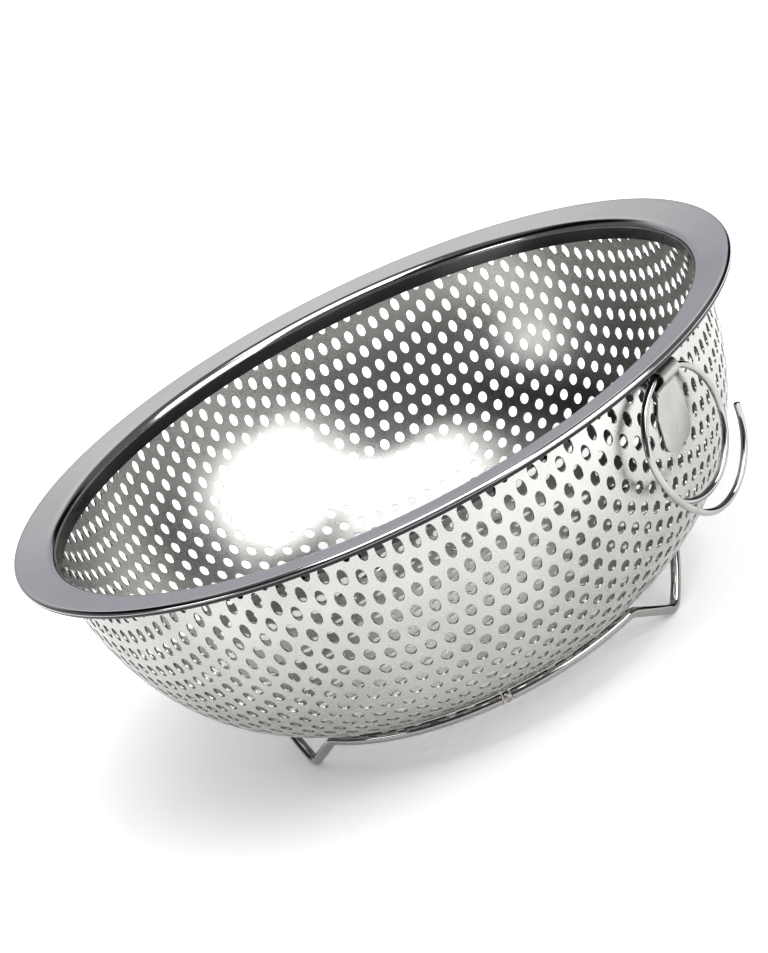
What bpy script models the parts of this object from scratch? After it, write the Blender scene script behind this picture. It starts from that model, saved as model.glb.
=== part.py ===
"""Perforated steel colander with a wire base and one hanging ring.

Metres, +Z up. The origin is on the bowl's axis at the level of the surface that
the feet stand on. The hanging ring is on the -Y side.
"""
import math

import bmesh
import bpy
from mathutils import Vector

MM = 0.001
FULL_TURN = 2.0 * math.pi
GAP = 0.3 * MM
SHARP_EDGE = math.radians(35.0)
POLE = 1e-9

# Bowl: one pressed sheet. The section is a short straight band at the top,
# three arcs that tighten towards the bottom, and a flat floor.
BOWL_RADIUS = 108.6 * MM
BOWL_SHEET = 0.6 * MM
BOWL_TOP_Z = 89.4 * MM
WALL_ARC_TOP_Z = 84.2 * MM
SECTION_ARCS = (
    (88.4 * MM, math.radians(28.7), 6),
    (66.7 * MM, math.radians(61.4), 6),
    (26.4 * MM, math.radians(90.0), 3),
)
BOWL_SIDES = 80

# Rim: a solid ring with a collar inside the bowl's top band, a rounded
# shoulder, a flange that rises outwards and a beaded outer edge.
RIM_RADIUS = 120.0 * MM
RIM_SHEET = 0.7 * MM
COLLAR_FOOT_Z = 85.4 * MM
SHOULDER_RADIUS = 3.0 * MM
SHOULDER_CENTRE_Z = 89.3 * MM
FLANGE_SLOPE = math.radians(8.8)
BEAD_RADIUS = 1.3 * MM
RIM_SIDES = 80

# Base: one wire bent into a ring under the bowl, with three V-shaped feet.
BASE_WIRE_RADIUS = 1.6 * MM
WIRE_SIDES = 8
BEND_STEPS = 4
LEVEL_STEP = math.radians(7.5)
BASE_SEAT_ANGLE = math.radians(68.0)
FOOT_AZIMUTHS = (9.0, 129.0, 249.0)
FOOT_SLOPE = math.radians(32.0)
FOOT_TOE_BEND = 5.0 * MM
FOOT_SHOULDER_BEND = 7.0 * MM
WELD_AZIMUTH = -45.0
WELD_HALF_LENGTH = 1.1 * MM
WELD_RADIUS = 1.8 * MM
WELD_END_DROP = 0.3 * MM
WELD_SIDES = 12
WELD_HALF_STEPS = 3

# Tab: a strap that follows the wall, curls outwards over the ring into a barrel,
# and comes down to a flap that lies on the strap again.
TAB_THICKNESS = 0.5 * MM
TAB_FOOT_Z = 61.6 * MM
TAB_HALF_WIDTH = 7.1 * MM
TAB_SIDE_SHIFT = 0.65 * MM
TAB_CORNER = 4.5 * MM
TAB_TAPER_Z = (73.5 * MM, 80.5 * MM)
BARREL_HALF_WIDTH = 4.3 * MM
BARREL_BORE_RADIUS = 2.1 * MM
BARREL_Z = 85.05 * MM
BARREL_STEPS = 13
FLAP_SLOPE = math.radians(55.0)
FLAP_BEND = 1.2 * MM
FLAP_BEND_STEPS = 4
FLAP_GAP = 0.15 * MM
FLAP_END_Z = 79.6 * MM
TAB_COLUMNS = 7
TAB_CORNER_STEP = math.radians(30.0)

# Hanging ring: one wire wound about one and a third turns, its outer end
# sprung away from the turn inside it.
RING_WIRE_RADIUS = 1.05 * MM
RING_RADIUS = 19.2 * MM
RING_SIDE_SHIFT = -1.2 * MM
RING_LIFT = 0.5 * MM
RING_START = math.radians(-2.0)
RING_TURN = math.radians(508.0)
RING_PITCH = 2.6 * MM
RING_TURN_AT_BARREL = math.radians(268.0)
RING_STEPS = 78
SPRUNG_RADIUS = 20.9 * MM
SPRUNG_SHIFT = Vector((2.0 * MM, 0.0, -3.6 * MM))
SPRUNG_FROM = math.radians(-182.0)
SPRUNG_FULL = math.radians(-100.0)


def clear_scene():
    for obj in list(bpy.data.objects):
        bpy.data.objects.remove(obj, do_unlink=True)


def steel(name, colour, roughness):
    material = bpy.data.materials.new(name)
    material.use_nodes = True
    shader = material.node_tree.nodes["Principled BSDF"]
    shader.inputs["Base Color"].default_value = (*colour, 1.0)
    shader.inputs["Roughness"].default_value = roughness
    shader.inputs["Metallic"].default_value = 1.0
    return material


def finish_mesh(name, bm, material, origin=Vector()):
    """Turn a bmesh into a smooth-shaded object with its origin at a world point."""
    bmesh.ops.translate(bm, verts=bm.verts, vec=-origin)
    bmesh.ops.recalc_face_normals(bm, faces=bm.faces)
    bmesh.ops.triangulate(bm, faces=bm.faces)
    mesh = bpy.data.meshes.new(name)
    bm.to_mesh(mesh)
    bm.free()
    mesh.shade_smooth()
    mesh.set_sharp_from_angle(angle=SHARP_EDGE)
    obj = bpy.data.objects.new(name, mesh)
    obj.location = origin
    obj.data.materials.append(material)
    bpy.context.collection.objects.link(obj)
    return obj


def ring_point(radius, azimuth, z):
    """A point at an azimuth that starts at -Y and grows towards +X."""
    return Vector((radius * math.sin(azimuth), -radius * math.cos(azimuth), z))


def lathe(name, outline, sides, material):
    """Turn a closed (radius, z) outline about Z; a radius of zero is a pole."""
    bm = bmesh.new()
    rows = []
    for radius, z in outline:
        if radius < POLE:
            rows.append([bm.verts.new((0.0, 0.0, z))])
        else:
            step = FULL_TURN / sides
            rows.append([bm.verts.new(ring_point(radius, step * k, z)) for k in range(sides)])
    for row, following in zip(rows, rows[1:] + rows[:1]):
        if len(row) == 1 and len(following) == 1:
            continue
        for k in range(sides):
            j = (k + 1) % sides
            corners = [row[k % len(row)], following[k % len(following)]]
            corners += [following[j % len(following)], row[j % len(row)]]
            bm.faces.new(list(dict.fromkeys(corners)))
    return finish_mesh(name, bm, material)


def arc(centre, radius, start, end, steps):
    """Points on a (radius, z) arc, both ends included."""
    turn = (end - start) / steps
    angles = [start + turn * k for k in range(steps + 1)]
    return [(centre[0] + radius * math.cos(a), centre[1] + radius * math.sin(a)) for a in angles]


def bowl_section():
    """Outer (radius, z, lean) points from the top edge down to the floor's edge.

    Lean is the angle between the wall and the vertical.
    """
    section = [(BOWL_RADIUS, BOWL_TOP_Z, 0.0), (BOWL_RADIUS, WALL_ARC_TOP_Z, 0.0)]
    lean = 0.0
    for bend, last_lean, steps in SECTION_ARCS:
        radius, z, _ = section[-1]
        centre = (radius - bend * math.cos(lean), z + bend * math.sin(lean))
        turn = (last_lean - lean) / steps
        for k in range(1, steps + 1):
            a = lean + turn * k
            section.append((centre[0] + bend * math.cos(a), centre[1] - bend * math.sin(a), a))
        lean = last_lean
    return section


def wall_at(z, offset=0.0):
    """The wall's outer radius at a height, plus an offset square to the wall."""
    for upper, lower in zip(bowl_section(), bowl_section()[1:]):
        if lower[1] <= z:
            t = (upper[1] - z) / (upper[1] - lower[1])
            radius = upper[0] + t * (lower[0] - upper[0])
            lean = upper[2] + t * (lower[2] - upper[2])
            return radius + offset / math.cos(lean)
    raise ValueError("height is below the wall")


def make_bowl(material):
    section = bowl_section()
    outside = [(r, z) for r, z, _ in section]
    inside = [(r - BOWL_SHEET * math.cos(a), z + BOWL_SHEET * math.sin(a)) for r, z, a in section]
    outline = outside + [(0.0, outside[-1][1]), (0.0, inside[-1][1])] + inside[::-1]
    return lathe("bowl", outline, BOWL_SIDES, material)


def make_rim(material):
    collar_outer = BOWL_RADIUS - BOWL_SHEET - GAP
    collar_inner = collar_outer - RIM_SHEET
    shoulder = (collar_inner + SHOULDER_RADIUS, SHOULDER_CENTRE_Z)
    flange_normal = math.pi / 2 + FLANGE_SLOPE
    crown = arc(shoulder, SHOULDER_RADIUS, math.pi, flange_normal, 5)
    under = arc(shoulder, SHOULDER_RADIUS - RIM_SHEET, flange_normal, math.pi, 5)
    bead_r = RIM_RADIUS - BEAD_RADIUS
    flange_depth = SHOULDER_RADIUS - BEAD_RADIUS
    run = bead_r - (shoulder[0] + flange_depth * math.cos(flange_normal))
    bead_z = shoulder[1] + flange_depth * math.sin(flange_normal) + run * math.tan(FLANGE_SLOPE)
    bead = arc((bead_r, bead_z), BEAD_RADIUS, flange_normal, -math.pi + FLANGE_SLOPE, 9)
    outline = [(collar_inner, COLLAR_FOOT_Z)] + crown + bead + under + [(collar_outer, COLLAR_FOOT_Z)]
    return lathe("rim_ring", outline, RIM_SIDES, material)


def base_seat():
    """Radius and height of the base wire's centre line, just clear of the bowl."""
    bend, _, _ = SECTION_ARCS[-1]
    floor_r, floor_z, _ = bowl_section()[-1]
    reach = bend + BASE_WIRE_RADIUS + GAP
    centre_z = floor_z + bend
    radius = floor_r + reach * math.cos(BASE_SEAT_ANGLE)
    return radius, centre_z - reach * math.sin(BASE_SEAT_ANGLE)


def round_corners(corners, bends, steps):
    """Replace each inner corner of a 2-D line by an arc of its bend radius."""
    line = [corners[0]]
    for before, corner, after, bend in zip(corners, corners[1:], corners[2:], bends):
        back = (before - corner).normalized()
        ahead = (after - corner).normalized()
        half = back.angle(ahead) / 2.0
        middle = corner + (back + ahead).normalized() * (bend / math.sin(half))
        reach = bend / math.tan(half)
        first = corner + back * reach - middle
        last = corner + ahead * reach - middle
        for k in range(steps + 1):
            line.append(middle + first.slerp(last, k / steps, first).normalized() * bend)
    line.append(corners[-1])
    return line


def foot_outline(ring_z):
    """One foot unrolled onto a plane: along the ring, and up. Its toe touches the ground."""
    toe_z = BASE_WIRE_RADIUS - FOOT_TOE_BEND * (1.0 / math.cos(FOOT_SLOPE) - 1.0)
    half_span = (ring_z - toe_z) / math.tan(FOOT_SLOPE)
    left = Vector((-half_span, ring_z))
    right = Vector((half_span, ring_z))
    reach = Vector((FOOT_SHOULDER_BEND, 0.0))
    bends = (FOOT_SHOULDER_BEND, FOOT_TOE_BEND, FOOT_SHOULDER_BEND)
    corners = [left - reach, left, Vector((0.0, toe_z)), right, right + reach]
    return round_corners(corners, bends, BEND_STEPS)


def base_path():
    """The base wire's centre line, from one side of the butt weld round to the other."""
    radius, ring_z = base_seat()
    foot = foot_outline(ring_z)
    weld_clearance = (WELD_HALF_LENGTH + GAP) / radius
    start = math.radians(WELD_AZIMUTH) + weld_clearance
    end = math.radians(WELD_AZIMUTH) + FULL_TURN - weld_clearance
    points = [(start, ring_z)]
    for azimuth in FOOT_AZIMUTHS:
        centre = math.radians(azimuth)
        points += flat_run(points[-1][0], centre + foot[0].x / radius, ring_z)
        points += [(centre + p.x / radius, p.y) for p in foot]
    points += flat_run(points[-1][0], end, ring_z)
    points.append((end, ring_z))
    return [ring_point(radius, a, z) for a, z in points]


def flat_run(start, end, z):
    """Points between two azimuths of a level stretch of wire, ends left out."""
    steps = max(1, round((end - start) / LEVEL_STEP))
    return [(start + (end - start) * k / steps, z) for k in range(1, steps)]


def skin(bm, rings):
    """Join a row of equal rings of vertices into one closed skin with flat ends."""
    sides = len(rings[0])
    for ring, following in zip(rings, rings[1:]):
        for j in range(sides):
            n = (j + 1) % sides
            bm.faces.new((ring[j], ring[n], following[n], following[j]))
    bm.faces.new(rings[0])
    bm.faces.new(rings[-1])


def round_ring(bm, centre, radius, side, top, sides):
    """A ring of vertices about a centre, in the plane of two unit directions."""
    angles = [FULL_TURN * j / sides for j in range(sides)]
    return [bm.verts.new(centre + radius * (math.cos(a) * side + math.sin(a) * top)) for a in angles]


def wire(name, points, radius, square_to, material, origin=Vector()):
    """Sweep a round wire along points. square_to is a direction that the path never runs along."""
    bm = bmesh.new()
    rings = []
    for before, point, after in zip(points[:1] + points, points, points[1:] + points[-1:]):
        along = (after - before).normalized()
        side = along.cross(square_to).normalized()
        rings.append(round_ring(bm, point, radius, side, side.cross(along), WIRE_SIDES))
    skin(bm, rings)
    return finish_mesh(name, bm, material, origin)


def make_base(material):
    return wire("base_ring", base_path(), BASE_WIRE_RADIUS, Vector((0.0, 0.0, 1.0)), material)


def make_weld(material):
    """The bead that closes the base wire into a ring: a short barrel on the wire's line."""
    radius, ring_z = base_seat()
    azimuth = math.radians(WELD_AZIMUTH)
    centre = ring_point(radius, azimuth, ring_z)
    along = Vector((math.cos(azimuth), math.sin(azimuth), 0.0))
    across = Vector((math.sin(azimuth), -math.cos(azimuth), 0.0))
    up = Vector((0.0, 0.0, 1.0))
    bm = bmesh.new()
    rings = []
    for k in range(-WELD_HALF_STEPS, WELD_HALF_STEPS + 1):
        t = k / WELD_HALF_STEPS
        bulge = WELD_RADIUS - WELD_END_DROP * t * t
        middle = centre + along * (WELD_HALF_LENGTH * t)
        rings.append(round_ring(bm, middle, bulge, across, up, WELD_SIDES))
    skin(bm, rings)
    return finish_mesh("base_weld", bm, material)


def barrel_axis_radius():
    """Distance of the barrel's axis, which is the ring's hinge, from the bowl's axis."""
    return wall_at(BARREL_Z) + GAP + TAB_THICKNESS + BARREL_BORE_RADIUS


def strap_line():
    """The strap's middle line as (radius, z, normal radius, normal z, width, wrap).

    Wrap is 1 where the strap hugs the round wall and 0 where it is straight.
    """
    middle = GAP + TAB_THICKNESS / 2.0
    line = []
    taper_low, taper_high = TAB_TAPER_Z
    corner_top = TAB_FOOT_Z + TAB_CORNER
    heights = [corner_top - TAB_CORNER * math.cos(TAB_CORNER_STEP * k) for k in range(4)]
    heights += [corner_top + (taper_low - corner_top) * k / 3 for k in (1, 2, 3)]
    heights += [taper_low + (taper_high - taper_low) * k / 4 for k in (1, 2, 3, 4)]
    for z in heights:
        rise = min(z - TAB_FOOT_Z, TAB_CORNER)
        corner = TAB_CORNER - math.sqrt(rise * (2.0 * TAB_CORNER - rise))
        taper = min(max((z - taper_low) / (taper_high - taper_low), 0.0), 1.0)
        taper = taper * taper * (3.0 - 2.0 * taper)
        width = TAB_HALF_WIDTH - corner + (BARREL_HALF_WIDTH - TAB_HALF_WIDTH) * taper
        slope = (wall_at(z + MM) - wall_at(z - MM)) / (2.0 * MM)
        normal = Vector((1.0, -slope)).normalized()
        line.append((wall_at(z, middle), z, normal.x, normal.y, width, 1.0 - taper))
    return line + [(*place, BARREL_HALF_WIDTH, 0.0) for place in barrel_line()]


def barrel_line():
    """The barrel's and the flap's middle line as (radius, z, normal radius, normal z)."""
    axis_r = barrel_axis_radius()
    curl = BARREL_BORE_RADIUS + TAB_THICKNESS / 2.0
    line = []
    for k in range(BARREL_STEPS + 1):
        a = math.pi - (math.pi + FLAP_SLOPE) * k / BARREL_STEPS
        out_r, out_z = math.cos(a), math.sin(a)
        line.append((axis_r + curl * out_r, BARREL_Z + curl * out_z, -out_r, -out_z))
    leave_r, leave_z, _, _ = line[-1]
    rest_offset = GAP + 1.5 * TAB_THICKNESS + FLAP_GAP
    rest_r = wall_at(FLAP_END_Z, rest_offset)
    ramp = (leave_r - rest_r - FLAP_BEND * (1.0 - math.cos(FLAP_SLOPE))) / math.sin(FLAP_SLOPE)
    centre_r = rest_r + FLAP_BEND
    centre_z = leave_z - ramp * math.cos(FLAP_SLOPE) - FLAP_BEND * math.sin(FLAP_SLOPE)
    for k in range(FLAP_BEND_STEPS + 1):
        a = FLAP_SLOPE * (k / FLAP_BEND_STEPS - 1.0)
        out_r, out_z = math.cos(a), math.sin(a)
        line.append((centre_r - FLAP_BEND * out_r, centre_z - FLAP_BEND * out_z, -out_r, -out_z))
    line.append((rest_r, FLAP_END_Z, -1.0, 0.0))
    return line


def make_tab(material):
    columns = TAB_COLUMNS
    bm = bmesh.new()
    sheets = []
    for face in (0.5, -0.5):
        sheet = []
        for radius, z, normal_r, normal_z, width, wrap in strap_line():
            row = []
            for k in range(columns):
                x = TAB_SIDE_SHIFT + width * (2.0 * k / (columns - 1) - 1.0)
                r = radius + face * TAB_THICKNESS * normal_r
                height = z + face * TAB_THICKNESS * normal_z
                y = -r + wrap * (r - math.sqrt(r * r - x * x))
                row.append(bm.verts.new((x, y, height)))
            sheet.append(row)
        sheets.append(sheet)
    front, back = sheets
    rows = len(front)
    for sheet in sheets:
        for i in range(rows - 1):
            for k in range(columns - 1):
                bm.faces.new((sheet[i][k], sheet[i][k + 1], sheet[i + 1][k + 1], sheet[i + 1][k]))
    for i in range(rows - 1):
        for k in (0, columns - 1):
            bm.faces.new((front[i][k], front[i + 1][k], back[i + 1][k], back[i][k]))
    for i in (0, rows - 1):
        for k in range(columns - 1):
            bm.faces.new((front[i][k], front[i][k + 1], back[i][k + 1], back[i][k]))
    return finish_mesh("ring_tab", bm, material)


def ring_path(hinge):
    """The ring's centre line, from its sprung outer end to its hidden inner end."""
    points = []
    for k in range(RING_STEPS + 1):
        turned = RING_TURN * k / RING_STEPS
        a = RING_START - turned
        sprung = min(max((a - SPRUNG_FROM) / (SPRUNG_FULL - SPRUNG_FROM), 0.0), 1.0)
        sprung = sprung * sprung * (3.0 - 2.0 * sprung)
        radius = RING_RADIUS + (SPRUNG_RADIUS - RING_RADIUS) * sprung
        centre = hinge + Vector((RING_SIDE_SHIFT, 0.0, RING_LIFT - RING_RADIUS)) + SPRUNG_SHIFT * sprung
        depth = RING_PITCH * (turned - RING_TURN_AT_BARREL) / FULL_TURN
        points.append(centre + Vector((radius * math.cos(a), depth, radius * math.sin(a))))
    return points


def make_ring(material):
    hinge = Vector((0.0, -barrel_axis_radius(), BARREL_Z))
    across = Vector((0.0, 1.0, 0.0))
    return wire("hanging_ring", ring_path(hinge), RING_WIRE_RADIUS, across, material, hinge)


def main():
    clear_scene()
    make_bowl(steel("satin_sheet", (0.62, 0.61, 0.59), 0.28))
    make_rim(steel("polished_rim", (0.60, 0.59, 0.62), 0.18))
    wire_steel = steel("bright_wire", (0.66, 0.66, 0.65), 0.12)
    make_base(wire_steel)
    make_weld(steel("weld_bead", (0.50, 0.49, 0.47), 0.35))
    make_tab(steel("brushed_strap", (0.58, 0.58, 0.55), 0.38))
    make_ring(wire_steel)


main()
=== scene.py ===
"""The looks of a perforated steel colander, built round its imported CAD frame.

Metres, +Z up. Every visible part is rebuilt finely in the place that its CAD node
holds: the bowl gets its punched holes, and the wires, rim and tab get round edges.
"""

import math

import bmesh
import bpy
import numpy as np
from mathutils import Matrix, Vector
from mathutils.geometry import delaunay_2d_cdt


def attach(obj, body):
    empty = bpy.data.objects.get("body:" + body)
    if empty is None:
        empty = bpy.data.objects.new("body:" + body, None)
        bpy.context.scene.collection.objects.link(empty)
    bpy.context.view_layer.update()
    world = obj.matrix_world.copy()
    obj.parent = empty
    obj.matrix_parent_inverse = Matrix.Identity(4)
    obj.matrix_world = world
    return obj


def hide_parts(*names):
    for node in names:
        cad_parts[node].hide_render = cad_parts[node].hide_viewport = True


MM = 0.001
FULL_TURN = 2.0 * math.pi
GAP = 0.3 * MM

# Bowl section, as in the CAD: a straight band, three arcs and a flat floor.
BOWL_RADIUS = 108.6 * MM
BOWL_SHEET = 0.6 * MM
BOWL_TOP_Z = 89.4 * MM
WALL_ARC_TOP_Z = 84.2 * MM
SECTION_ARCS = (
    (88.4 * MM, math.radians(28.7)),
    (66.7 * MM, math.radians(61.4)),
    (26.4 * MM, math.radians(90.0)),
)
SECTION_STEP = math.radians(0.5)

# Holes: punched in a flat round blank on a triangular grid, then drawn with it.
HOLE_PITCH = 6.4165 * MM
HOLE_RADIUS = 1.80 * MM
HOLE_EDGE = 0.16 * MM
HOLE_SIDES = 12
GRID_CENTRE = Vector((0.40 * MM, 0.61 * MM))
GRID_TURN = math.radians(-43.476)
DRAW_STRETCH = 0.76 * MM
DRAW_STRETCH_OVER = 90.0 * MM
TOP_EDGE_SIDES = 360
TOP_EDGE_MARGIN = 0.2 * MM
INSIDE_HOLE = 0.985
ON_EDGE = 0.04 * MM
WELD_DISTANCE = 0.0005 * MM
NORMAL_STEP = 0.05 * MM

# Rim, as in the CAD.
RIM_RADIUS = 120.0 * MM
RIM_SHEET = 0.7 * MM
COLLAR_FOOT_Z = 85.4 * MM
SHOULDER_RADIUS = 3.0 * MM
SHOULDER_CENTRE_Z = 89.3 * MM
FLANGE_SLOPE = math.radians(8.8)
BEAD_RADIUS = 1.3 * MM
COLLAR_BEVEL = 0.1 * MM
LATHE_SIDES = 288

# Base wire, as in the CAD.
BASE_WIRE_RADIUS = 1.6 * MM
BASE_SEAT_ANGLE = math.radians(68.0)
FOOT_AZIMUTHS = (9.0, 129.0, 249.0)
FOOT_SLOPE = math.radians(32.0)
FOOT_TOE_BEND = 5.0 * MM
FOOT_SHOULDER_BEND = 7.0 * MM
WELD_AZIMUTH = -45.0
WELD_HALF_LENGTH = 1.1 * MM
WELD_RADIUS = 1.8 * MM
WELD_END_FALL = 0.25 * MM
WELD_LUMPS = ((0.05 * MM, 3.0, 4.0), (0.04 * MM, 5.0, -7.0))
WIRE_SIDES = 20
CUT_END_BEVEL = 0.25 * MM

# Tab and its barrel, as in the CAD.
TAB_THICKNESS = 0.5 * MM
TAB_FOOT_Z = 61.6 * MM
TAB_HALF_WIDTH = 7.1 * MM
TAB_SIDE_SHIFT = 0.65 * MM
TAB_CORNER = 4.5 * MM
TAB_TAPER_Z = (73.5 * MM, 80.5 * MM)
TAB_EDGE = 0.10 * MM
BARREL_HALF_WIDTH = 4.3 * MM
BARREL_BORE_RADIUS = 2.1 * MM
BARREL_Z = 85.05 * MM
FLAP_SLOPE = math.radians(55.0)
FLAP_BEND = 1.2 * MM
FLAP_GAP = 0.15 * MM
FLAP_END_Z = 79.6 * MM
SPOT_WELDS = ((1.5 * MM, 77.4 * MM), (1.1 * MM, 67.3 * MM))
SPOT_WELD_RADIUS = 0.8 * MM
SPOT_WELD_DEPTH = 0.12 * MM
SPOT_WELD_FALL = 1.5

# Hanging ring, as in the CAD.
RING_WIRE_RADIUS = 1.05 * MM
RING_RADIUS = 19.2 * MM
RING_SIDE_SHIFT = -1.2 * MM
RING_LIFT = 0.5 * MM
RING_START = math.radians(-2.0)
RING_TURN = math.radians(508.0)
RING_PITCH = 2.6 * MM
RING_TURN_AT_BARREL = math.radians(268.0)
SPRUNG_RADIUS = 20.9 * MM
SPRUNG_SHIFT = Vector((2.0 * MM, 0.0, -3.6 * MM))
SPRUNG_FROM = math.radians(-182.0)
SPRUNG_FULL = math.radians(-100.0)
RING_STEPS = 300

# Steels: the two colours and the two roughnesses between which each drifts, and
# how many soft blotches it has to the metre.
STEELS = {
    "satin_sheet": ((0.56, 0.556, 0.54), (0.49, 0.486, 0.47), (0.24, 0.32), 40.0),
    "polished_rim": ((0.62, 0.617, 0.625), (0.57, 0.567, 0.575), (0.10, 0.17), 30.0),
    "bright_wire": ((0.46, 0.46, 0.45), (0.39, 0.39, 0.38), (0.03, 0.09), 90.0),
    "weld_bead": ((0.55, 0.53, 0.50), (0.34, 0.31, 0.28), (0.30, 0.45), 600.0),
    "brushed_strap": ((0.50, 0.50, 0.475), (0.41, 0.41, 0.39), (0.32, 0.44), 160.0),
}
FINE_TO_BLOTCH = 14.0

# The rim is painted near black where it faces down, a painted shade for its shadowed underside;
# these are the normals' Z where that ends.
RIM_UNDERSIDE_PAINTED_SHADE = (0.06, 0.06, 0.06)
RIM_PAINTED_SHADE_NORMAL_Z = (-0.02, 0.22)

# Camera: where it stands round the bowl, and how it is turned.
CAMERA_AZIMUTH = math.radians(-43.0)
CAMERA_DISTANCE = 730.07 * MM
CAMERA_HEIGHT = 326.99 * MM
CAMERA_PITCH = math.radians(19.726)
CAMERA_YAW = math.radians(-0.487)
CAMERA_ROLL = math.radians(26.725)
CAMERA_LENS = 94.62
CAMERA_SENSOR = 36.0
CAMERA_CLIP_START = 10.0 * MM

# Studio: a grey room with a pale backdrop behind the bowl, two black flags, and
# softboxes. A patch of the room is its azimuth from the camera's side, then the
# angles between which its sides, foot and top fade, all in degrees as seen from
# the bowl. A softbox is its azimuth, elevation, half width and half height in
# degrees, and its brightness.
ROOM_COLOUR = (0.25, 0.25, 0.26)
BACKDROP_FOOT_COLOUR = (0.63, 0.62, 0.665)
BACKDROP_HEAD_COLOUR = (1.05, 1.05, 1.03)
BACKDROP_SHADE = (12.0, 36.0)
BACKDROP_PATCH = (180.0, (48.0, 24.0), (-12.0, -6.0), (48.0, 60.0))
FLAG_COLOUR = (0.012, 0.012, 0.014)
FLAG_PATCHES = (
    (-85.0, (82.0, 58.0), (22.0, 32.0), (46.0, 56.0)),
    (136.0, (24.0, 12.0), (-12.0, -6.0), (16.0, 26.0)),
)
SOFTBOX_DISTANCE = 1.3
SOFTBOX_AIM = Vector((0.0, 0.0, 0.05))
SOFTBOXES = {
    "front_softbox": (50.0, 32.0, 24.0, 23.0, 3.3),
    "top_softbox": (-5.0, 71.0, 20.0, 21.0, 2.9),
    "side_strip": (-68.0, 16.0, 11.0, 6.0, 2.4),
}
WHITE = (1.0, 1.0, 1.0)
FLOOR_HALF_SIZE = 6.0
FLOOR_COLOUR = (0.90, 0.90, 0.90)
FLOOR_ROUGHNESS = 0.6
FLOOR_GLOW = (0.26, 0.74)
FLOOR_GLOW_REACH = (0.07, 0.26)
DISPLAY_GAMMA = 0.75


# ---------------------------------------------------------------- mesh helpers


def ring_point(radius, azimuth, z):
    """A point at an azimuth that starts at -Y and grows towards +X."""
    return Vector((radius * math.sin(azimuth), -radius * math.cos(azimuth), z))


def smooth_step(t):
    t = min(max(t, 0.0), 1.0)
    return t * t * (3.0 - 2.0 * t)


def show(obj, body, slot, *nodes):
    """Make a finished piece ride its body and stand for its CAD nodes."""
    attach(obj, body)
    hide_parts(*nodes)
    return obj


def new_piece(name, mesh, material):
    mesh.materials.append(material)
    obj = bpy.data.objects.new(name, mesh)
    bpy.context.scene.collection.objects.link(obj)
    return obj


def mesh_from_bmesh(name, bm, sharp=math.radians(40.0)):
    bmesh.ops.recalc_face_normals(bm, faces=bm.faces)
    mesh = bpy.data.meshes.new(name)
    bm.to_mesh(mesh)
    bm.free()
    mesh.shade_smooth()
    mesh.set_sharp_from_angle(angle=sharp)
    return mesh


def arc(centre, radius, start, end, steps):
    """Points on a (radius, z) arc, both ends included."""
    middle_r, middle_z = centre
    turn = (end - start) / steps
    angles = [start + turn * k for k in range(steps + 1)]
    return [(middle_r + radius * math.cos(a), middle_z + radius * math.sin(a)) for a in angles]


# ------------------------------------------------------------------ bowl shape


def bowl_section():
    """Outer (radius, z, lean) points from the top edge down to the floor's edge."""
    section = [(BOWL_RADIUS, BOWL_TOP_Z, 0.0), (BOWL_RADIUS, WALL_ARC_TOP_Z, 0.0)]
    lean = 0.0
    for bend, last_lean in SECTION_ARCS:
        radius, z, _ = section[-1]
        centre = (radius - bend * math.cos(lean), z + bend * math.sin(lean))
        steps = round((last_lean - lean) / SECTION_STEP)
        for k in range(1, steps + 1):
            a = lean + (last_lean - lean) * k / steps
            section.append((centre[0] + bend * math.cos(a), centre[1] - bend * math.sin(a), a))
        lean = last_lean
    return section


def wall_at(z, offset=0.0):
    """The wall's outer radius at a height, plus an offset square to the wall."""
    section = bowl_section()
    for upper, lower in zip(section, section[1:]):
        if lower[1] <= z:
            t = (upper[1] - z) / (upper[1] - lower[1])
            radius = upper[0] + t * (lower[0] - upper[0])
            lean = upper[2] + t * (lower[2] - upper[2])
            return radius + offset / math.cos(lean)
    raise ValueError("height is below the wall")


class Drawing:
    """How the flat blank becomes the bowl.

    Area is kept, so a ring of the blank narrows round the bowl and lengthens down
    its wall by the same factor. DRAW_STRETCH adds a little reach to that.
    """

    def __init__(self):
        section = np.array(bowl_section()[::-1])
        floor = [[0.0, section[0, 1], section[0, 2]]]
        section = np.concatenate([floor, section])
        self.radius, self.z, self.lean = section.T
        run = np.hypot(np.diff(self.radius), np.diff(self.z))
        ring_area = np.cumsum((self.radius[1:] + self.radius[:-1]) * run)
        self.reach = np.sqrt(np.concatenate([[0.0], ring_area]))

    def stretched(self, blank_reach):
        """The reach that a distance from the blank's middle is drawn to."""
        t = np.clip(blank_reach / DRAW_STRETCH_OVER, 0.0, 1.0)
        return blank_reach + DRAW_STRETCH * t * t * (3.0 - 2.0 * t)

    def edge(self):
        """The blank's radius at the bowl's top edge."""
        return self.reach[-1] - DRAW_STRETCH

    def place(self, blank, depth=0.0):
        """3-D points and outward normals for (n, 2) blank points at a depth."""
        reach = self.stretched(np.hypot(blank[:, 0], blank[:, 1]))
        azimuth = np.arctan2(blank[:, 0], -blank[:, 1])
        lean = np.interp(reach, self.reach, self.lean)
        radius = np.interp(reach, self.reach, self.radius) - depth * np.cos(lean)
        z = np.interp(reach, self.reach, self.z) + depth * np.sin(lean)
        out = (np.sin(azimuth), -np.cos(azimuth))
        points = np.stack([radius * out[0], radius * out[1], z], 1)
        level = np.cos(lean)
        normals = np.stack([level * out[0], level * out[1], -np.sin(lean)], 1)
        return points, normals


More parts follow.
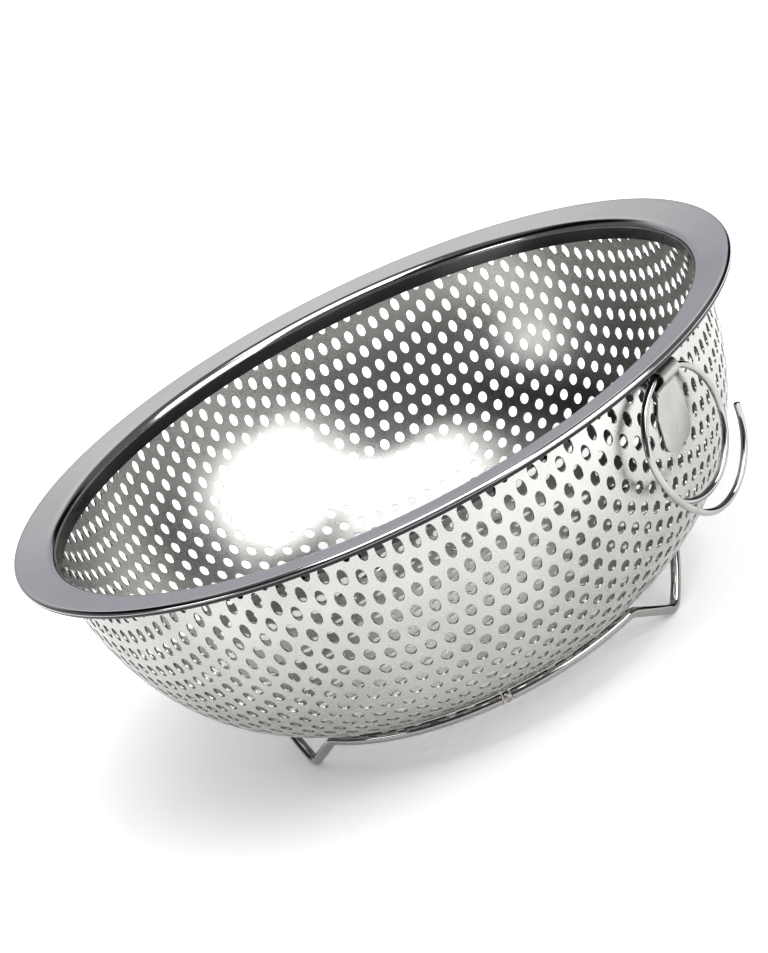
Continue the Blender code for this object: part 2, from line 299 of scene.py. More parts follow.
def grid_centres(edge):
    """Every hole centre of the grid whose cell reaches inside the blank."""
    across = Vector((math.cos(GRID_TURN), math.sin(GRID_TURN)))
    slant = Vector((math.cos(GRID_TURN + math.pi / 3), math.sin(GRID_TURN + math.pi / 3)))
    middle = Matrix.Rotation(GRID_TURN, 2) @ GRID_CENTRE
    count = math.ceil(1.3 * edge / HOLE_PITCH)
    centres = []
    for i in range(-count, count + 1):
        for j in range(-count, count + 1):
            p = middle + HOLE_PITCH * (i * across + j * slant)
            if p.length < edge + HOLE_PITCH:
                centres.append((p.x, p.y))
    return np.array(centres)


def around(centres, radii):
    """(n, HOLE_SIDES, 2) points round each centre, at a radius for each direction."""
    angles = GRID_TURN + FULL_TURN / HOLE_SIDES * np.arange(HOLE_SIDES)
    ring = np.stack([np.cos(angles), np.sin(angles)], 1) * np.asarray(radii)[:, None]
    return centres[:, None, :] + ring[None, :, :]


class Sheet:
    """A flat mesh in the blank's plane. A vertex on a hole's edge remembers its hole."""

    def __init__(self):
        self.points = []
        self.holes = []
        self.faces = []
        self.index = {}

    def vertex(self, x, y, hole=None):
        """The vertex at a point, which may lie just over the edge of the next weld cell."""
        column, row = round(x / WELD_DISTANCE), round(y / WELD_DISTANCE)
        near = [(column + i, row + j) for i in (0, -1, 1) for j in (0, -1, 1)]
        key = next((k for k in near if k in self.index), None)
        if key is None:
            key = (column, row)
            self.index[key] = len(self.points)
            self.points.append((x, y))
            self.holes.append(hole)
        elif hole is not None:
            self.holes[self.index[key]] = hole
        return self.index[key]

    def border(self):
        """Directed edges that only one face uses."""
        edges = set()
        for face in self.faces:
            for a, b in zip(face, face[1:] + face[:1]):
                if (b, a) in edges:
                    edges.remove((b, a))
                else:
                    edges.add((a, b))
        return sorted(edges)


def punched_sheet(edge):
    """The whole blank, cut round at its edge, with a six-sided cell round each hole."""
    centres = grid_centres(edge)
    cell_side, cell_corner = HOLE_PITCH / 2, HOLE_PITCH / math.sqrt(3.0)
    cells = around(centres, [cell_side, cell_corner] * (HOLE_SIDES // 2))
    holes = around(centres, [HOLE_RADIUS + HOLE_EDGE] * HOLE_SIDES)
    whole = np.hypot(cells[:, :, 0], cells[:, :, 1]).max(1) < edge - TOP_EDGE_MARGIN
    sheet = Sheet()
    for centre, cell, hole in zip(centres[whole], cells[whole], holes[whole]):
        outer = [sheet.vertex(*p) for p in cell]
        inner = [sheet.vertex(*p, hole=tuple(centre)) for p in hole]
        for k in range(HOLE_SIDES):
            n = (k + 1) % HOLE_SIDES
            sheet.faces.append([inner[n], outer[n], outer[k], inner[k]])
    fill_to_edge(sheet, edge, centres, whole, holes)
    return sheet


def fill_to_edge(sheet, edge, centres, whole, holes):
    """Triangles between the whole cells and the round edge, cut by the last holes."""
    seam = [(a, b) for a, b in sheet.border() if sheet.holes[a] is None]
    used = sorted({v for e in seam for v in e})
    number = {v: k for k, v in enumerate(used)}
    points = [Vector(sheet.points[v]) / MM for v in used]
    edges = [(number[a], number[b]) for a, b in seam]
    top_angles = np.arange(TOP_EDGE_SIDES) * FULL_TURN / TOP_EDGE_SIDES
    loops = [[Vector((edge * math.cos(a), edge * math.sin(a))) / MM for a in top_angles]]
    cut = np.hypot(centres[:, 0], centres[:, 1]) < edge + HOLE_RADIUS
    loops += [[Vector(p) / MM for p in hole] for hole in holes[~whole & cut]]
    for loop in loops:
        first = len(points)
        points += loop
        edges += [(first + k, first + (k + 1) % len(loop)) for k in range(len(loop))]
    verts, _, faces, *_ = delaunay_2d_cdt(points, edges, [], 0, 1e-6)
    places = np.array([tuple(v) for v in verts]) * MM
    reach = HOLE_RADIUS + HOLE_EDGE
    for face in faces:
        middle = places[list(face)].mean(0)
        distance = np.hypot(*(centres - middle).T)
        nearest = int(distance.argmin())
        in_hole = distance[nearest] < INSIDE_HOLE * reach
        if whole[nearest] or in_hole or np.hypot(*middle) > edge:
            continue
        corners = []
        for v in reversed(face):
            on_hole = np.abs(np.hypot(*(centres - places[v]).T) - reach) < ON_EDGE
            hole = tuple(centres[int(on_hole.argmax())]) if on_hole.any() else None
            corners.append(sheet.vertex(*places[v], hole=hole))
        if len(set(corners)) == len(corners):
            sheet.faces.append(corners)


def thicken(sheet, drawing, name):
    """The drawn shell: outer face, eased hole edges, hole walls and inner face."""
    flat = np.array(sheet.points)
    count = len(flat)
    border = sheet.border()
    rim_vertices = sorted({v for e in border for v in e})
    mid = {v: count + k for k, v in enumerate(rim_vertices)}
    inner_start = count + len(rim_vertices)
    inset = flat.copy()
    heading = flat / np.maximum(np.hypot(flat[:, 0], flat[:, 1]), 1e-9)[:, None]
    for v in rim_vertices:
        if sheet.holes[v] is not None:
            to_hole = np.array(sheet.holes[v]) - flat[v]
            heading[v] = to_hole / np.hypot(*to_hole)
            inset[v] = flat[v] + heading[v] * HOLE_EDGE
    outer_points, outer_normals = drawing.place(flat)
    mid_points, _ = drawing.place(inset[rim_vertices], HOLE_EDGE)
    step = NORMAL_STEP * heading[rim_vertices]
    ahead, _ = drawing.place(inset[rim_vertices] + step, HOLE_EDGE)
    walls = ahead - mid_points
    walls /= np.maximum(np.linalg.norm(walls, axis=1), 1e-12)[:, None]
    inner_points, inner_normals = drawing.place(inset, BOWL_SHEET)
    wall_normal = dict(zip(rim_vertices, walls))

    faces = [list(f) for f in sheet.faces]
    normals = [outer_normals[v] for f in faces for v in f]
    for a, b in border:
        faces.append([b, a, mid[a], mid[b]])
        normals += [outer_normals[b], outer_normals[a], wall_normal[a], wall_normal[b]]
        faces.append([mid[b], mid[a], inner_start + a, inner_start + b])
        normals += [wall_normal[b], wall_normal[a], wall_normal[a], wall_normal[b]]
    for f in sheet.faces:
        faces.append([inner_start + v for v in reversed(f)])
        normals += [-inner_normals[v] for v in reversed(f)]

    mesh = bpy.data.meshes.new(name)
    points = np.concatenate([outer_points, mid_points, inner_points])
    mesh.from_pydata(points.tolist(), [], faces)
    mesh.shade_smooth()
    mesh.normals_split_custom_set([tuple(n) for n in normals])
    return mesh


def make_bowl(material):
    drawing = Drawing()
    mesh = thicken(punched_sheet(drawing.edge()), drawing, "punched_bowl")
    bowl = new_piece("punched_bowl", mesh, material)
    return show(bowl, "colander", "satin_sheet", "bowl")


# ------------------------------------------------------------------------- rim


def rim_outline():
    """Closed (radius, z) outline of the collar, shoulder, flange and beaded edge."""
    collar_outer = BOWL_RADIUS - BOWL_SHEET - GAP
    collar_inner = collar_outer - RIM_SHEET
    shoulder = (collar_inner + SHOULDER_RADIUS, SHOULDER_CENTRE_Z)
    flange_normal = math.pi / 2 + FLANGE_SLOPE
    crown = arc(shoulder, SHOULDER_RADIUS, math.pi, flange_normal, 16)
    under = arc(shoulder, SHOULDER_RADIUS - RIM_SHEET, flange_normal, math.pi, 10)
    bead_r = RIM_RADIUS - BEAD_RADIUS
    flange_depth = SHOULDER_RADIUS - BEAD_RADIUS
    run = bead_r - (shoulder[0] + flange_depth * math.cos(flange_normal))
    bead_z = shoulder[1] + flange_depth * math.sin(flange_normal) + run * math.tan(FLANGE_SLOPE)
    bead = arc((bead_r, bead_z), BEAD_RADIUS, flange_normal, -math.pi + FLANGE_SLOPE, 24)
    foot = [
        (collar_outer, COLLAR_FOOT_Z + COLLAR_BEVEL),
        (collar_outer - COLLAR_BEVEL, COLLAR_FOOT_Z),
        (collar_inner + COLLAR_BEVEL, COLLAR_FOOT_Z),
        (collar_inner, COLLAR_FOOT_Z + COLLAR_BEVEL),
    ]
    flange = spread(crown[-1], bead[0], 8)
    underside = spread(bead[-1], under[0], 6)
    return crown + flange + bead + underside + under + foot


def spread(start, end, steps):
    """Points between two (radius, z) points, ends left out."""
    (r, z), (end_r, end_z) = start, end
    return [(r + (end_r - r) * k / steps, z + (end_z - z) * k / steps) for k in range(1, steps)]


def lathe(name, outline):
    """A closed outline turned round Z."""
    bm = bmesh.new()
    turns = [FULL_TURN / LATHE_SIDES * k for k in range(LATHE_SIDES)]
    rows = [[bm.verts.new(ring_point(r, a, z)) for a in turns] for r, z in outline]
    for row, following in zip(rows, rows[1:] + rows[:1]):
        for k in range(LATHE_SIDES):
            n = (k + 1) % LATHE_SIDES
            bm.faces.new((row[k], following[k], following[n], row[n]))
    return mesh_from_bmesh(name, bm)


def make_rim(material):
    rim = new_piece("flanged_rim", lathe("flanged_rim", rim_outline()), material)
    return show(rim, "colander", "polished_rim", "rim_ring")


# ----------------------------------------------------------------------- wires


def close_tube(bm, rings):
    """Faces along a row of rings and over both its ends."""
    for ring, following in zip(rings, rings[1:]):
        for j in range(len(ring)):
            n = (j + 1) % len(ring)
            bm.faces.new((ring[j], ring[n], following[n], following[j]))
    bm.faces.new(rings[0])
    bm.faces.new(rings[-1])


def wire_mesh(name, points, radius, square_to):
    """A round wire along points, its cut ends slightly bevelled."""
    spine = [(p, radius) for p in points]
    first = (points[1] - points[0]).normalized()
    last = (points[-1] - points[-2]).normalized()
    spine[0] = (points[0], radius - CUT_END_BEVEL)
    spine.insert(1, (points[0] + first * CUT_END_BEVEL, radius))
    spine[-1] = (points[-1] - last * CUT_END_BEVEL, radius)
    spine.append((points[-1], radius - CUT_END_BEVEL))
    places = [p for p, _ in spine]
    angles = [FULL_TURN * j / WIRE_SIDES for j in range(WIRE_SIDES)]
    bm = bmesh.new()
    rings = []
    for k, (point, size) in enumerate(spine):
        before = places[max(k - 1, 0)]
        after = places[min(k + 1, len(places) - 1)]
        along = (after - before).normalized()
        side = along.cross(square_to).normalized()
        top = side.cross(along)
        outward = [math.cos(a) * side + math.sin(a) * top for a in angles]
        rings.append([bm.verts.new(point + size * out) for out in outward])
    close_tube(bm, rings)
    return mesh_from_bmesh(name, bm)


def base_seat():
    """Radius and height of the base wire's centre line, just clear of the bowl."""
    bend, _ = SECTION_ARCS[-1]
    floor_r, floor_z, _ = bowl_section()[-1]
    reach = bend + BASE_WIRE_RADIUS + GAP
    centre_z = floor_z + bend
    radius = floor_r + reach * math.cos(BASE_SEAT_ANGLE)
    return radius, centre_z - reach * math.sin(BASE_SEAT_ANGLE)


def round_corners(corners, bends, steps):
    """Replace each inner corner of a 2-D line by an arc of its bend radius."""
    line = [corners[0]]
    for before, corner, after, bend in zip(corners, corners[1:], corners[2:], bends):
        back = (before - corner).normalized()
        ahead = (after - corner).normalized()
        half = back.angle(ahead) / 2.0
        middle = corner + (back + ahead).normalized() * (bend / math.sin(half))
        reach = bend / math.tan(half)
        first = corner + back * reach - middle
        last = corner + ahead * reach - middle
        for k in range(steps + 1):
            line.append(middle + first.slerp(last, k / steps, first).normalized() * bend)
    line.append(corners[-1])
    return line


def foot_outline(ring_z):
    """One foot unrolled onto a plane: along the ring, and up."""
    toe_z = BASE_WIRE_RADIUS - FOOT_TOE_BEND * (1.0 / math.cos(FOOT_SLOPE) - 1.0)
    half_span = (ring_z - toe_z) / math.tan(FOOT_SLOPE)
    left = Vector((-half_span, ring_z))
    right = Vector((half_span, ring_z))
    reach = Vector((FOOT_SHOULDER_BEND, 0.0))
    bends = (FOOT_SHOULDER_BEND, FOOT_TOE_BEND, FOOT_SHOULDER_BEND)
    corners = [left - reach, left, Vector((0.0, toe_z)), right, right + reach]
    return round_corners(corners, bends, 12)


def fill_line(points, longest):
    """Add points to a line of (azimuth, z) so that no step turns further than longest."""
    line = [points[0]]
    for start, end in zip(points, points[1:]):
        steps = max(1, math.ceil(abs(end[0] - start[0]) / longest))
        for k in range(1, steps + 1):
            t = k / steps
            line.append((start[0] + t * (end[0] - start[0]), start[1] + t * (end[1] - start[1])))
    return line


def base_path():
    """The base wire's centre line, from one side of the butt weld round to the other."""
    radius, ring_z = base_seat()
    foot = foot_outline(ring_z)
    weld_clearance = (WELD_HALF_LENGTH + GAP) / radius
    start = math.radians(WELD_AZIMUTH) + weld_clearance
    end = math.radians(WELD_AZIMUTH) + FULL_TURN - weld_clearance
    points = [(start, ring_z)]
    for azimuth in FOOT_AZIMUTHS:
        centre = math.radians(azimuth)
        points += [(centre + p.x / radius, p.y) for p in foot]
    points.append((end, ring_z))
    return [ring_point(radius, a, z) for a, z in fill_line(points, math.radians(2.0))]


def make_base(material):
    mesh = wire_mesh("foot_wire", base_path(), BASE_WIRE_RADIUS, Vector((0.0, 0.0, 1.0)))
    return show(new_piece("foot_wire", mesh, material), "colander", "bright_wire", "base_ring")


def make_weld(material):
    """The butt weld's bead: a lumpy collar on the wire's line."""
    radius, ring_z = base_seat()
    azimuth = math.radians(WELD_AZIMUTH)
    along = Vector((math.cos(azimuth), math.sin(azimuth), 0.0))
    across = Vector((math.sin(azimuth), -math.cos(azimuth), 0.0))
    up = Vector((0.0, 0.0, 1.0))
    centre = ring_point(radius, azimuth, ring_z)
    steps, sides = 12, 24
    largest = WELD_RADIUS - sum(depth for depth, _, _ in WELD_LUMPS)
    bm = bmesh.new()
    rings = []
    for k in range(steps + 1):
        t = 2.0 * k / steps - 1.0
        ring = []
        for j in range(sides):
            a = FULL_TURN * j / sides
            lump = sum(depth * math.sin(round_it * a + along_it * t)
                       for depth, round_it, along_it in WELD_LUMPS)
            size = largest - WELD_END_FALL * t * t + lump
            out = math.cos(a) * across + math.sin(a) * up
            ring.append(bm.verts.new(centre + along * (WELD_HALF_LENGTH * t) + out * size))
        rings.append(ring)
    close_tube(bm, rings)
    weld = new_piece("butt_weld", mesh_from_bmesh("butt_weld", bm), material)
    return show(weld, "colander", "weld_bead", "base_weld")


def barrel_axis_radius():
    """The radius at which the barrel stands, which is also the ring's hinge."""
    return wall_at(BARREL_Z) + GAP + TAB_THICKNESS + BARREL_BORE_RADIUS


def ring_path():
    """The ring's centre line, from its sprung outer end to its hidden inner end."""
    hinge = Vector((0.0, -barrel_axis_radius(), BARREL_Z))
    hung = hinge + Vector((RING_SIDE_SHIFT, 0.0, RING_LIFT - RING_RADIUS))
    points = []
    for k in range(RING_STEPS + 1):
        turned = RING_TURN * k / RING_STEPS
        a = RING_START - turned
        sprung = smooth_step((a - SPRUNG_FROM) / (SPRUNG_FULL - SPRUNG_FROM))
        radius = RING_RADIUS + (SPRUNG_RADIUS - RING_RADIUS) * sprung
        depth = RING_PITCH * (turned - RING_TURN_AT_BARREL) / FULL_TURN
        turn = Vector((radius * math.cos(a), depth, radius * math.sin(a)))
        points.append(hung + SPRUNG_SHIFT * sprung + turn)
    return points


def make_ring(material):
    mesh = wire_mesh("split_ring", ring_path(), RING_WIRE_RADIUS, Vector((0.0, 1.0, 0.0)))
    return show(new_piece("split_ring", mesh, material), "ring", "bright_wire", "hanging_ring")


# ------------------------------------------------------------------------- tab


def strap_line():
    """The strap's middle line as (radius, z, normal radius, normal z, width, wrap)."""
    middle = GAP + TAB_THICKNESS / 2.0
    taper_low, taper_high = TAB_TAPER_Z
    corner_top = TAB_FOOT_Z + TAB_CORNER
    corner_steps, side_steps = 12, 40
    quarter = [math.radians(90.0 * k / corner_steps) for k in range(corner_steps)]
    heights = [corner_top - TAB_CORNER * math.cos(a) for a in quarter]
    side = taper_high - corner_top
    heights += [corner_top + side * k / side_steps for k in range(side_steps + 1)]
    line = []
    for z in heights:
        rise = min(z - TAB_FOOT_Z, TAB_CORNER)
        corner = TAB_CORNER - math.sqrt(max(rise * (2.0 * TAB_CORNER - rise), 0.0))
        taper = smooth_step((z - taper_low) / (taper_high - taper_low))
        width = TAB_HALF_WIDTH - corner + (BARREL_HALF_WIDTH - TAB_HALF_WIDTH) * taper
        slope = (wall_at(z + MM) - wall_at(z - MM)) / (2.0 * MM)
        normal = Vector((1.0, -slope)).normalized()
        line.append((wall_at(z, middle), z, normal.x, normal.y, width, 1.0 - taper))
    return line + [(*place, BARREL_HALF_WIDTH, 0.0) for place in barrel_line()]


def barrel_line():
    """The barrel's and the flap's middle line as (radius, z, normal radius, normal z)."""
    axis_r = barrel_axis_radius()
    curl = BARREL_BORE_RADIUS + TAB_THICKNESS / 2.0
    line = []
    curl_steps, bend_steps = 48, 12
    for k in range(curl_steps + 1):
        a = math.pi - (math.pi + FLAP_SLOPE) * k / curl_steps
        out_r, out_z = math.cos(a), math.sin(a)
        line.append((axis_r + curl * out_r, BARREL_Z + curl * out_z, -out_r, -out_z))
    leave_r, leave_z, _, _ = line[-1]
    rest_offset = GAP + 1.5 * TAB_THICKNESS + FLAP_GAP
    rest_r = wall_at(FLAP_END_Z, rest_offset)
    ramp = (leave_r - rest_r - FLAP_BEND * (1.0 - math.cos(FLAP_SLOPE))) / math.sin(FLAP_SLOPE)
    centre_r = rest_r + FLAP_BEND
    centre_z = leave_z - ramp * math.cos(FLAP_SLOPE) - FLAP_BEND * math.sin(FLAP_SLOPE)
    for k in range(bend_steps + 1):
        a = FLAP_SLOPE * (k / bend_steps - 1.0)
        out_r, out_z = math.cos(a), math.sin(a)
        line.append((centre_r - FLAP_BEND * out_r, centre_z - FLAP_BEND * out_z, -out_r, -out_z))
    line.append((rest_r, FLAP_END_Z, -1.0, 0.0))
    return line


def weld_dent(x, z):
    """Depth of the electrode's print at a place on the plate."""
    dent = 0.0
    for weld_x, weld_z in SPOT_WELDS:
        away = math.hypot(x - weld_x, z - weld_z) / SPOT_WELD_RADIUS
        dent += SPOT_WELD_DEPTH * math.exp(-away * away * SPOT_WELD_FALL)
    return dent


def make_tab(material):
    """The strap: a front and a back sheet of vertices, joined along their edges."""
    columns = 32
    bm = bmesh.new()
    sheets = []
    for face in (0.5, -0.5):
        sheet = []
        for radius, z, normal_r, normal_z, width, wrap in strap_line():
            row = []
            for k in range(columns + 1):
                x = TAB_SIDE_SHIFT + width * (2.0 * k / columns - 1.0)
                dent = weld_dent(x, z) if face > 0 and wrap > 0 else 0.0
                lift = face * TAB_THICKNESS - dent
                r = radius + lift * normal_r
                y = -r + wrap * (r - math.sqrt(r * r - x * x))
                row.append(bm.verts.new((x, y, z + lift * normal_z)))
            sheet.append(row)
        sheets.append(sheet)
    front, back = sheets
    rows = len(front)
    for sheet in sheets:
        for i in range(rows - 1):
            row, following = sheet[i], sheet[i + 1]
            for k in range(columns):
                bm.faces.new((row[k], row[k + 1], following[k + 1], following[k]))
    for i in range(rows - 1):
        for k in (0, columns):
            bm.faces.new((front[i][k], front[i + 1][k], back[i + 1][k], back[i][k]))
    for i in (0, rows - 1):
        for k in range(columns):
            bm.faces.new((front[i][k], front[i][k + 1], back[i][k + 1], back[i][k]))
    tab = new_piece("ring_strap", mesh_from_bmesh("ring_strap", bm), material)
    bevel = tab.modifiers.new("eased_edges", "BEVEL")
    bevel.width = TAB_EDGE
    bevel.segments = 2
    bevel.limit_method = "ANGLE"
    bevel.angle_limit = math.radians(50.0)
    return show(tab, "colander", "brushed_strap", "ring_tab")


# ------------------------------------------------------------------- materials


class Nodes:
    """A small helper that builds the world's or a material's node tree."""

    def __init__(self, owner):
        owner.use_nodes = True
        self.tree = owner.node_tree

    def add(self, kind, **settings):
        node = self.tree.nodes.new(kind)
        for key, value in settings.items():
            setattr(node, key, value)
        return node

    def link(self, source, target):
        self.tree.links.new(source, target)

    def maths(self, operation, first, second):
        """The value of a sum or product; the second may be a plain number."""
        node = self.add("ShaderNodeMath", operation=operation)
        self.link(first, node.inputs[0])
        if isinstance(second, float):
            node.inputs[1].default_value = second
        else:
            self.link(second, node.inputs[1])
        return node.outputs["Value"]

    def noise(self, vector, scale, detail=3.0, roughness=0.5):
        node = self.add("ShaderNodeTexNoise")
        node.inputs["Scale"].default_value = scale
        node.inputs["Detail"].default_value = detail
        node.inputs["Roughness"].default_value = roughness
        self.link(vector, node.inputs["Vector"])
        return node.outputs["Fac"]

    def spread(self, noise, low, high):
        """Map the middle of a noise's range onto another range."""
        return self.ramp(noise, (0.3, 0.7), (low, high), "LINEAR")

    def ramp(self, value, source, target=(0.0, 1.0), kind="SMOOTHSTEP"):
        """Map one range onto another."""
        node = self.add("ShaderNodeMapRange", interpolation_type=kind)
        node.inputs["From Min"].default_value = source[0]
        node.inputs["From Max"].default_value = source[1]
        node.inputs["To Min"].default_value = target[0]
        node.inputs["To Max"].default_value = target[1]
        self.link(value, node.inputs["Value"])
        return node.outputs["Result"]

    def mix(self, factor, first, second):
        """Mix two colours; each is a colour or another node's colour."""
        node = self.add("ShaderNodeMix", data_type="RGBA")
        self.link(factor, node.inputs[0])
        for source, slot in ((first, 6), (second, 7)):
            if isinstance(source, tuple):
                node.inputs[slot].default_value = (*source, 1.0)
            else:
                self.link(source, node.inputs[slot])
        return node.outputs[2]

    def bump(self, height, distance, below=None):
        """The normal over a height, laid over another bump where one is given."""
        node = self.add("ShaderNodeBump")
        node.inputs["Strength"].default_value = 1.0
        node.inputs["Distance"].default_value = distance
        self.link(height, node.inputs["Height"])
        if below is not None:
            self.link(below, node.inputs["Normal"])
        return node.outputs["Normal"]

    def turned_coordinates(self, position, along_scale, round_scale):
        """Coordinates that stretch noise into fine rings round Z."""
        split = self.add("ShaderNodeSeparateXYZ")
        self.link(position, split.inputs["Vector"])
        flat = self.add("ShaderNodeCombineXYZ")
        self.link(split.outputs["X"], flat.inputs["X"])
        self.link(split.outputs["Y"], flat.inputs["Y"])
        length = self.add("ShaderNodeVectorMath", operation="LENGTH")
        self.link(flat.outputs["Vector"], length.inputs[0])
        angle = self.maths("ARCTAN2", split.outputs["Y"], split.outputs["X"])
        rings = self.add("ShaderNodeCombineXYZ")
        for source, target, factor in (
            (length.outputs["Value"], "X", along_scale),
            (angle, "Y", round_scale),
            (split.outputs["Z"], "Z", along_scale),
        ):
            self.link(self.maths("MULTIPLY", source, factor), rings.inputs[target])
        return rings.outputs["Vector"]


class Material(Nodes):
    """A new material's node tree."""

    def __init__(self, name):
        self.material = bpy.data.materials.new(name)
        super().__init__(self.material)
        self.shader = self.tree.nodes["Principled BSDF"]
        self.position = self.add("ShaderNodeTexCoord").outputs["Object"]

    def set(self, name, value):
        """Give one of the shader's inputs a plain value."""
        self.shader.inputs[name].default_value = value

    def drive(self, name, source):
        """Feed one of the shader's inputs from another node."""
        self.link(source, self.shader.inputs[name])


def steel(name):
    """Metal whose colour and roughness drift in soft blotches."""
    light, dark, (rough_low, rough_high), blotch_scale = STEELS[name]
    nodes = Material(name)
    nodes.set("Metallic", 1.0)
    blotch = nodes.noise(nodes.position, blotch_scale)
    fine = nodes.noise(nodes.position, FINE_TO_BLOTCH * blotch_scale, 5.0, 0.6)
    nodes.drive("Base Color", nodes.mix(nodes.spread(blotch, 0.0, 1.0), dark, light))
    halves = [nodes.spread(noise, rough_low / 2, rough_high / 2) for noise in (blotch, fine)]
    nodes.drive("Roughness", nodes.maths("ADD", *halves))
    return nodes


def satin_sheet():
    """The drawn sheet: faint waves from the press under a fine grain."""
    nodes = steel("satin_sheet")
    waves = nodes.bump(nodes.noise(nodes.position, 60.0, 1.0), 0.25 * MM)
    grain = nodes.noise(nodes.position, 3500.0, 2.0)
    nodes.drive("Normal", nodes.bump(grain, 0.004 * MM, below=waves))
    return nodes.material


def polished_rim():
    """The polished rim: turned rings and faint waves, and a painted shade on its underside."""
    nodes = steel("polished_rim")
    split = nodes.add("ShaderNodeSeparateXYZ")
    nodes.link(nodes.add("ShaderNodeNewGeometry").outputs["Normal"], split.inputs["Vector"])
    # Painted shade: surfaces of the rim that face down get a near-black colour.
    painted_shade = nodes.ramp(split.outputs["Z"], RIM_PAINTED_SHADE_NORMAL_Z, (1.0, 0.0))
    polished = nodes.shader.inputs["Base Color"].links[0].from_socket
    nodes.drive("Base Color", nodes.mix(painted_shade, polished, RIM_UNDERSIDE_PAINTED_SHADE))
    rings = nodes.noise(nodes.turned_coordinates(nodes.position, 9000.0, 3.0), 1.0, 3.0)
    turned = nodes.bump(rings, 0.001 * MM)
    waves = nodes.noise(nodes.position, 45.0, 1.0)
    nodes.drive("Normal", nodes.bump(waves, 0.05 * MM, below=turned))
    return nodes.material


def bumpy_steel(name, scale, distance):
    """A steel with one fine noise for its surface."""
    nodes = steel(name)
    nodes.drive("Normal", nodes.bump(nodes.noise(nodes.position, scale, 3.0), distance))
    return nodes.material


def brushed_strap():
    """The strap's plate, brushed up and down."""
    nodes = steel("brushed_strap")
    stretch = nodes.add("ShaderNodeMapping")
    stretch.inputs["Scale"].default_value = (1.0, 1.0, 0.06)
    nodes.link(nodes.position, stretch.inputs["Vector"])
    lines = nodes.noise(stretch.outputs["Vector"], 5000.0, 3.0)
    nodes.drive("Normal", nodes.bump(lines, 0.006 * MM))
    return nodes.material


# ------------------------------------------------------------ floor and lights


def make_floor():
    """A pale floor that glows a little, more with distance from the bowl."""
    bm = bmesh.new()
    bmesh.ops.create_grid(bm, x_segments=1, y_segments=1, size=FLOOR_HALF_SIZE)
    mesh = bpy.data.meshes.new("floor")
    bm.to_mesh(mesh)
    bm.free()
    nodes = Material("floor")
    nodes.set("Base Color", (*FLOOR_COLOUR, 1.0))
    nodes.set("Emission Color", (*WHITE, 1.0))
    nodes.set("Roughness", FLOOR_ROUGHNESS)
    reach = nodes.add("ShaderNodeVectorMath", operation="LENGTH")
    nodes.link(nodes.position, reach.inputs[0])
    glow = nodes.ramp(reach.outputs["Value"], FLOOR_GLOW_REACH, FLOOR_GLOW)
    nodes.drive("Emission Strength", glow)
    floor = new_piece("floor", mesh, nodes.material)
    return floor


def make_softbox(name, azimuth, elevation, half_width, half_height, brightness):
    """A panel facing the bowl, seen in reflections but not by the camera."""
    up = math.radians(elevation)
    away = SOFTBOX_DISTANCE
    reach = round_bowl(azimuth, away * math.cos(up), away * math.sin(up))
    light = bpy.data.lights.new(name, "AREA")
    light.shape = "RECTANGLE"
    light.size = 2.0 * away * math.tan(math.radians(half_width))
    light.size_y = 2.0 * away * math.tan(math.radians(half_height))
    light.energy = brightness * math.pi * light.size * light.size_y
    panel = bpy.data.objects.new(name, light)
    panel.location = SOFTBOX_AIM + reach
    panel.rotation_euler = (-reach).to_track_quat("-Z", "Y").to_euler()
    panel.visible_camera = False
    bpy.context.scene.collection.objects.link(panel)


def sine(degrees):
    return math.sin(math.radians(degrees))


def room_patch(nodes, heading, height, azimuth, sides, foot, top):
    """1 on a soft-edged patch of the room, 0 outside it."""
    facing = nodes.add("ShaderNodeVectorMath", operation="DOT_PRODUCT")
    nodes.link(heading, facing.inputs[0])
    facing.inputs[1].default_value = round_bowl(azimuth, 1.0, 0.0)
    fade = [math.cos(math.radians(angle)) for angle in sides]
    mask = nodes.ramp(facing.outputs["Value"], fade)
    for low, high in (foot, top[::-1]):
        mask = nodes.maths("MULTIPLY", mask, nodes.ramp(height, (sine(low), sine(high))))
    return mask


def make_world():
    """White to the camera, and the grey room with its backdrop and flags in reflections."""
    world = bpy.data.worlds.new("studio")
    bpy.context.scene.world = world
    nodes = Nodes(world)
    ray = nodes.add("ShaderNodeTexCoord").outputs["Generated"]
    level = nodes.add("ShaderNodeVectorMath", operation="MULTIPLY")
    nodes.link(ray, level.inputs[0])
    level.inputs[1].default_value = (1.0, 1.0, 0.0)
    heading = nodes.add("ShaderNodeVectorMath", operation="NORMALIZE")
    nodes.link(level.outputs["Vector"], heading.inputs[0])
    split = nodes.add("ShaderNodeSeparateXYZ")
    nodes.link(ray, split.inputs["Vector"])
    seen = (nodes, heading.outputs["Vector"], split.outputs["Z"])

    shade = nodes.ramp(split.outputs["Z"], [sine(angle) for angle in BACKDROP_SHADE])
    cloth = nodes.mix(shade, BACKDROP_FOOT_COLOUR, BACKDROP_HEAD_COLOUR)
    room = nodes.mix(room_patch(*seen, *BACKDROP_PATCH), ROOM_COLOUR, cloth)
    for flag in FLAG_PATCHES:
        room = nodes.mix(room_patch(*seen, *flag), room, FLAG_COLOUR)
    to_camera = nodes.add("ShaderNodeLightPath").outputs["Is Camera Ray"]
    background = nodes.tree.nodes["Background"]
    nodes.link(nodes.mix(to_camera, room, WHITE), background.inputs["Color"])


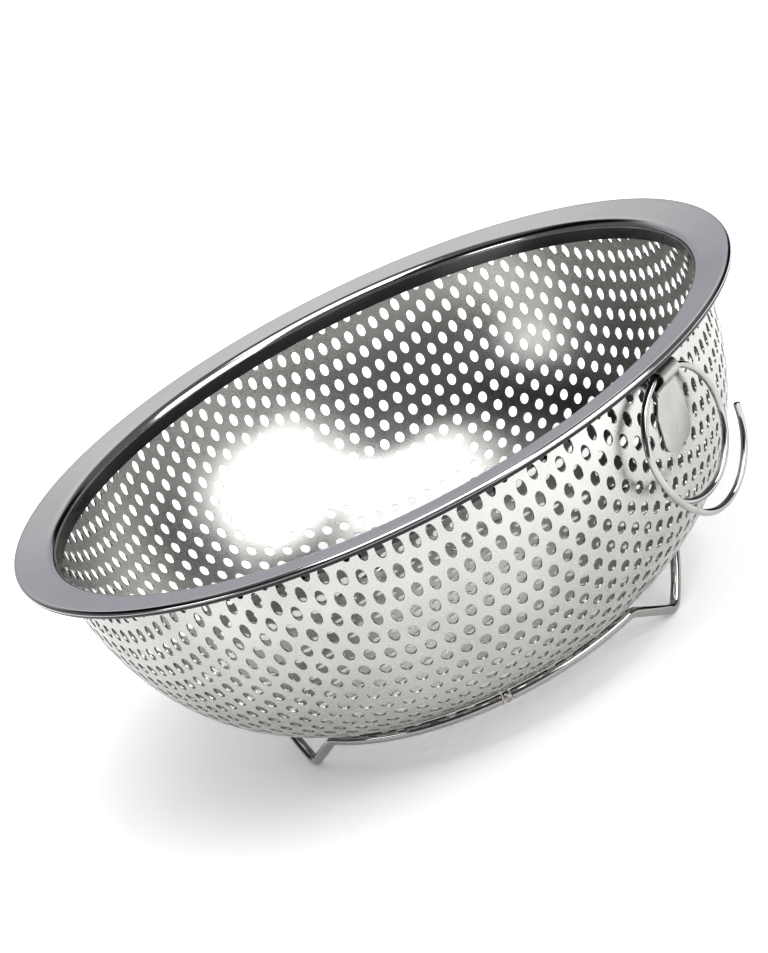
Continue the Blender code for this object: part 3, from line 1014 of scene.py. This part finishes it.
def round_bowl(azimuth, distance, height):
    """A place round the bowl; azimuth in degrees from the camera's side, to its right."""
    return ring_point(distance, CAMERA_AZIMUTH + math.radians(azimuth), height)


def make_camera():
    data = bpy.data.cameras.new("camera")
    data.sensor_width = CAMERA_SENSOR
    data.lens = CAMERA_LENS
    data.clip_start = CAMERA_CLIP_START
    heading = CAMERA_YAW - CAMERA_AZIMUTH
    pitch = CAMERA_PITCH
    forward = Vector((
        math.sin(heading) * math.cos(pitch),
        math.cos(heading) * math.cos(pitch),
        -math.sin(pitch),
    ))
    right = Vector((math.cos(heading), -math.sin(heading), 0.0))
    up = right.cross(forward)
    image_right = right * math.cos(CAMERA_ROLL) - up * math.sin(CAMERA_ROLL)
    image_up = right * math.sin(CAMERA_ROLL) + up * math.cos(CAMERA_ROLL)
    turn = Matrix((image_right, image_up, -forward)).transposed()
    camera = bpy.data.objects.new("camera", data)
    place = ring_point(CAMERA_DISTANCE, CAMERA_AZIMUTH, CAMERA_HEIGHT)
    camera.matrix_world = Matrix.Translation(place) @ turn.to_4x4()
    bpy.context.scene.collection.objects.link(camera)
    bpy.context.scene.camera = camera


def main():
    bpy.context.scene.view_settings.view_transform = "Standard"
    bpy.context.scene.view_settings.gamma = DISPLAY_GAMMA
    make_camera()
    make_bowl(satin_sheet())
    make_rim(polished_rim())
    wire = bumpy_steel("bright_wire", 900.0, 0.01 * MM)
    make_base(wire)
    make_weld(bumpy_steel("weld_bead", 1800.0, 0.06 * MM))
    make_tab(brushed_strap())
    make_ring(wire)
    make_floor()
    make_world()
    for name, setting in SOFTBOXES.items():
        make_softbox(name, *setting)


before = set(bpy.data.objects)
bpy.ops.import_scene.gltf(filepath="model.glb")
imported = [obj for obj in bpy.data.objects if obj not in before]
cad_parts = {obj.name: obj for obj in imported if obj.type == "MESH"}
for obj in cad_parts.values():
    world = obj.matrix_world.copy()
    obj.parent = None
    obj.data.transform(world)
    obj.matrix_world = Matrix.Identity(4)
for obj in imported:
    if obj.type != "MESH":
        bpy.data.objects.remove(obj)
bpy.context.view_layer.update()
main()
